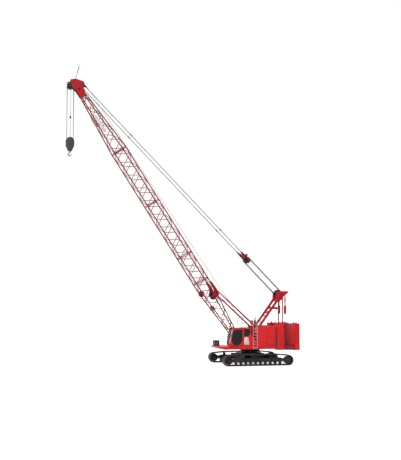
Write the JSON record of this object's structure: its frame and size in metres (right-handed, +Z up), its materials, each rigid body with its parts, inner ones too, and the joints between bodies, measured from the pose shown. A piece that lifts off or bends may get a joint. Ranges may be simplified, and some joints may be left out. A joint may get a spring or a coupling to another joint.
{
  "type": "lattice-boom crawler crane",
  "caption": "Lattice-boom crawler crane with a slewing upper, fixed gantry, telescoping backstops, pendant stays and a hook block; the boom luffs and the hook hoists.",
  "frame": {"origin": "on the slewing axis at ground level, midway between the two tracks", "axes": "+X forwards, the way the boom points at rest; +Y the crane's left, the cab side; +Z up"},
  "size_m": [23.1072, 6.3, 29.2357],
  "materials": {
    "red_paint": "gloss",
    "ballast_red": "satin",
    "black_paint": "satin",
    "dark_steel": "satin",
    "grey_steel": "satin",
    "pale_paint": "satin",
    "tinted_glass": "gloss",
    "seat_fabric": "matte"
  },
  "bodies": {
    "undercarriage": {"carbody": "black_paint", "crawler_frame_left": "black_paint", "crawler_frame_right": "black_paint", "track_left": "dark_steel", "track_right": "dark_steel", "drive_sprocket_left": "dark_steel", "drive_sprocket_right": "dark_steel", "slew_ring": "black_paint"},
    "upper": {"rotating_bed": "red_paint", "front_platform": "red_paint", "machinery_house_left": "red_paint", "machinery_house_right": "red_paint", "engine_block": "dark_steel", "fuel_tank": "black_paint", "cab_shell": "red_paint", "cab_rear_side_window": "tinted_glass", "cab_right_window": "tinted_glass", "windscreen": "tinted_glass", "operator_seat": "seat_fabric", "counterweight_slab": "ballast_red", "counterweight_left": "ballast_red", "counterweight_right": "ballast_red", "toolbox": "black_paint", "access_ladder": "pale_paint", "front_grab_rail": "pale_paint", "cab_roof_rail": "red_paint", "house_roof_rail": "red_paint", "gantry_leg_left": "red_paint", "gantry_leg_right": "red_paint", "gantry_head": "red_paint", "gantry_cross_member": "red_paint", "gantry_rear_links": "red_paint"},
    "cab_door": {"cab_door": "red_paint", "cab_door_window": "tinted_glass"},
    "house_door_left": {"house_door_left": "red_paint"},
    "house_door_right": {"house_door_right": "red_paint"},
    "toolbox_lid": {"toolbox_lid": "black_paint"},
    "main_drum": {"main_drum": "dark_steel"},
    "auxiliary_drum": {"auxiliary_drum": "dark_steel"},
    "boom_hoist_drum": {"boom_hoist_drum": "dark_steel"},
    "gantry_sheaves": {"gantry_sheaves": "black_paint", "boom_hoist_fall": "grey_steel"},
    "bridle": {"boom_hoist_bridle": "red_paint"},
    "pendants": {"boom_pendant_left": "grey_steel", "boom_pendant_right": "grey_steel"},
    "backstop_tubes": {"backstop_tube_left": "red_paint", "backstop_tube_right": "red_paint"},
    "backstop_rods": {"backstop_rod_left": "grey_steel", "backstop_rod_right": "grey_steel"},
    "boom": {"boom_butt": "red_paint", "boom_insert_short": "red_paint", "boom_insert_lower": "red_paint", "boom_insert_upper": "red_paint", "boom_tip": "red_paint", "boom_head": "red_paint"},
    "point_sheaves": {"point_sheaves": "black_paint", "load_fall": "grey_steel"},
    "hook_block": {"hook_block": "black_paint"},
    "hook": {"hook": "grey_steel"}
  },
  "joints": [
    {"name": "slew", "type": "hinge", "parent": "undercarriage", "child": "upper", "pos_m": [0, 0, 1.52], "axis": [0, 0, 1], "continuous": true},
    {"name": "boom_luff", "type": "hinge", "parent": "upper", "child": "boom", "pos_m": [0.95, 0, 1.85], "axis": [0, -1, 0], "range_deg": [-27, 23]},
    {"name": "boom_hoist_swing", "type": "hinge", "parent": "upper", "child": "gantry_sheaves", "pos_m": [-3, 0, 7.07], "axis": [0, -1, 0], "range_deg": [-23.7, 20.2]},
    {"name": "boom_hoist_reeve", "type": "slide", "parent": "gantry_sheaves", "child": "bridle", "axis": [0.7035, 0, 0.7107], "range_m": [-2.56, 3.01], "deforming": ["boom_hoist_fall"]},
    {"name": "pendant_swing", "type": "hinge", "parent": "bridle", "child": "pendants", "pos_m": [0.8903, 0, 11.0002], "axis": [0, -1, 0], "range_deg": [-5.7, 4.9]},
    {"name": "backstop_swing", "type": "hinge", "parent": "upper", "child": "backstop_tubes", "pos_m": [-0.45, 0, 3.6], "axis": [0, -1, 0], "range_deg": [-27.6, 23.6]},
    {"name": "backstop_stroke", "type": "slide", "parent": "backstop_tubes", "child": "backstop_rods", "axis": [0.7391, 0, 0.6736], "range_m": [-0.88, 1.03]},
    {"name": "point_sheave_turn", "type": "hinge", "parent": "boom", "child": "point_sheaves", "pos_m": [18.2072, 0, 27.2486], "axis": [0, -1, 0], "range_deg": [-23.3, 27.3]},
    {"name": "hook_hoist", "type": "slide", "parent": "point_sheaves", "child": "hook_block", "axis": [0, 0, 1], "range_m": [-9.5, 3.9], "deforming": ["load_fall"]},
    {"name": "hook_swivel", "type": "hinge", "parent": "hook_block", "child": "hook", "pos_m": [18.2072, 0, 20.8486], "axis": [0, 0, 1], "continuous": true},
    {"name": "cab_door_hinge", "type": "hinge", "parent": "upper", "child": "cab_door", "pos_m": [1.155, 1.6123, 2.7], "axis": [0, 0, 1], "range_deg": [0, 90]},
    {"name": "house_door_left_hinge", "type": "hinge", "parent": "upper", "child": "house_door_left", "pos_m": [-1.2975, 1.6123, 2.7], "axis": [0, 0, -1], "range_deg": [0, 110]},
    {"name": "house_door_right_hinge", "type": "hinge", "parent": "upper", "child": "house_door_right", "pos_m": [-1.2975, -1.6123, 2.7], "axis": [0, 0, 1], "range_deg": [0, 110]},
    {"name": "toolbox_lid_hinge", "type": "hinge", "parent": "upper", "child": "toolbox_lid", "pos_m": [2.9847, -0.97, 2.305], "axis": [0, -1, 0], "range_deg": [0, 100]},
    {"name": "main_drum_turn", "type": "hinge", "parent": "upper", "child": "main_drum", "pos_m": [-0.26, 0, 2.24], "axis": [0, 1, 0], "continuous": true},
    {"name": "auxiliary_drum_turn", "type": "hinge", "parent": "upper", "child": "auxiliary_drum", "pos_m": [-1.24, 0, 2.24], "axis": [0, 1, 0], "continuous": true},
    {"name": "boom_hoist_drum_turn", "type": "hinge", "parent": "upper", "child": "boom_hoist_drum", "pos_m": [-2.05, 0, 2.24], "axis": [0, 1, 0], "continuous": true}
  ],
  "couplings": [
    {"joint": "boom_hoist_swing", "follows": "boom_luff", "ratio": 0.865},
    {"joint": "boom_hoist_reeve", "follows": "boom_luff", "m_per_rad": -6.359},
    {"joint": "pendant_swing", "follows": "boom_luff", "ratio": 0.2},
    {"joint": "backstop_swing", "follows": "boom_luff", "ratio": 1.011},
    {"joint": "backstop_stroke", "follows": "boom_luff", "m_per_rad": -2.164},
    {"joint": "point_sheave_turn", "follows": "boom_luff", "ratio": -1}
  ]
}
